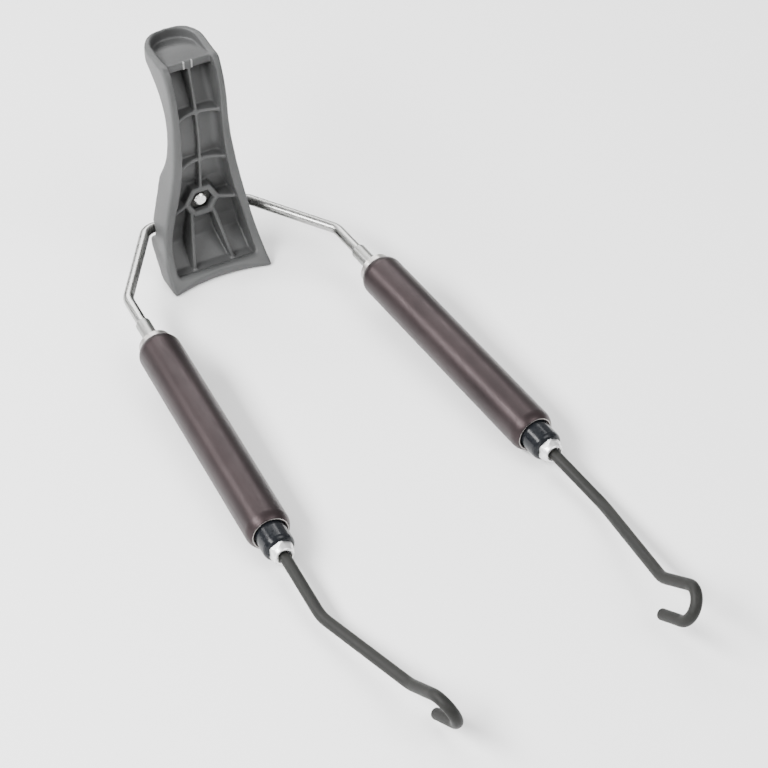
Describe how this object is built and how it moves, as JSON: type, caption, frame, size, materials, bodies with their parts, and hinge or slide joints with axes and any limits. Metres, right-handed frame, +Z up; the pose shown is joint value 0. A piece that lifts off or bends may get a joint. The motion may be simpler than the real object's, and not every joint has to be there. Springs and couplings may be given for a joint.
{
  "type": "ski binding heel throw with spring cartridges",
  "caption": "Heel assembly of a cable ski binding: a moulded heel throw on a bent steel bail, with spring cartridges and hooked wires along both sides.",
  "frame": {"origin": "on the surface that the piece stands on, under the middle of its bounding box", "axes": "+Z up, +Y from the hooks towards the heel throw, +X to the right seen from the hooks"},
  "size_m": [0.1174, 0.291, 0.0917],
  "materials": {
    "throw_plastic": "moulded, fine satin grain",
    "fastener_steel": "zinc-plated",
    "dark_nut": "blackened steel",
    "stainless_wire": "polished stainless",
    "ferrule_steel": "satin, threaded along its outside",
    "cap_aluminium": "satin, turned",
    "tube_anodised": "satin bronze-brown anodised, drawn",
    "spring_steel": "oiled spring steel",
    "bush_plastic": "glossy black",
    "guide_zinc": "bright zinc",
    "black_wire": "satin black coating"
  },
  "bodies": {
    "bail": {"bail_wire": "stainless_wire", "left_thread_ferrule": "ferrule_steel", "right_thread_ferrule": "ferrule_steel"},
    "throw": {"heel_throw": "throw_plastic", "keeper_plate": "throw_plastic", "keeper_screw": "fastener_steel", "keeper_washer": "fastener_steel", "lock_nut": "dark_nut"},
    "left_carriage": {"left_rear_cap": "cap_aluminium"},
    "left_cartridge": {"left_cartridge_tube": "tube_anodised", "left_front_bush": "bush_plastic", "left_hex_guide": "guide_zinc", "left_thrust_washer": "fastener_steel", "left_compression_spring": "spring_steel"},
    "left_plunger": {"left_spring_seat": "fastener_steel"},
    "left_wire": {"left_hooked_wire": "black_wire", "left_stop_nut": "fastener_steel"},
    "right_carriage": {"right_rear_cap": "cap_aluminium"},
    "right_cartridge": {"right_cartridge_tube": "tube_anodised", "right_front_bush": "bush_plastic", "right_hex_guide": "guide_zinc", "right_thrust_washer": "fastener_steel", "right_compression_spring": "spring_steel"},
    "right_plunger": {"right_spring_seat": "fastener_steel"},
    "right_wire": {"right_hooked_wire": "black_wire", "right_stop_nut": "fastener_steel"}
  },
  "joints": [
    {"name": "throw_pivot", "type": "hinge", "parent": "bail", "child": "throw", "pos_m": [0, 0.13044, 0.0171], "axis": [1, 0, 0], "range_deg": [-100, 60]},
    {"name": "left_length_slide", "type": "slide", "parent": "bail", "child": "left_carriage", "axis": [-0.0601, -0.9966, -0.0559], "range_m": [-0.008, 0.008]},
    {"name": "left_cartridge_turn", "type": "hinge", "parent": "left_carriage", "child": "left_cartridge", "pos_m": [-0.045, 0.06394, 0.01337], "axis": [-0.0601, -0.9966, -0.0559], "range_deg": [-2881, 2881]},
    {"name": "left_spring_stroke", "type": "slide", "parent": "left_carriage", "child": "left_plunger", "axis": [-0.0601, -0.9966, -0.0559], "range_m": [0, 0.02], "stiffness_N_per_m": 6000, "springref_m": -0.005, "deforming": ["left_compression_spring"]},
    {"name": "left_wire_swivel", "type": "hinge", "parent": "left_plunger", "child": "left_wire", "pos_m": [-0.045, 0.06394, 0.01337], "axis": [-0.0601, -0.9966, -0.0559], "continuous": true},
    {"name": "right_length_slide", "type": "slide", "parent": "bail", "child": "right_carriage", "axis": [0.0601, -0.9966, -0.0559], "range_m": [-0.008, 0.008]},
    {"name": "right_cartridge_turn", "type": "hinge", "parent": "right_carriage", "child": "right_cartridge", "pos_m": [0.045, 0.06394, 0.01337], "axis": [0.0601, -0.9966, -0.0559], "range_deg": [-2881, 2881]},
    {"name": "right_spring_stroke", "type": "slide", "parent": "right_carriage", "child": "right_plunger", "axis": [0.0601, -0.9966, -0.0559], "range_m": [0, 0.02], "stiffness_N_per_m": 6000, "springref_m": -0.005, "deforming": ["right_compression_spring"]},
    {"name": "right_wire_swivel", "type": "hinge", "parent": "right_plunger", "child": "right_wire", "pos_m": [0.045, 0.06394, 0.01337], "axis": [0.0601, -0.9966, -0.0559], "continuous": true}
  ],
  "couplings": [
    {"joint": "left_cartridge_turn", "follows": "left_length_slide", "rad_per_m": 6283.2},
    {"joint": "right_cartridge_turn", "follows": "right_length_slide", "rad_per_m": 6283.2}
  ]
}
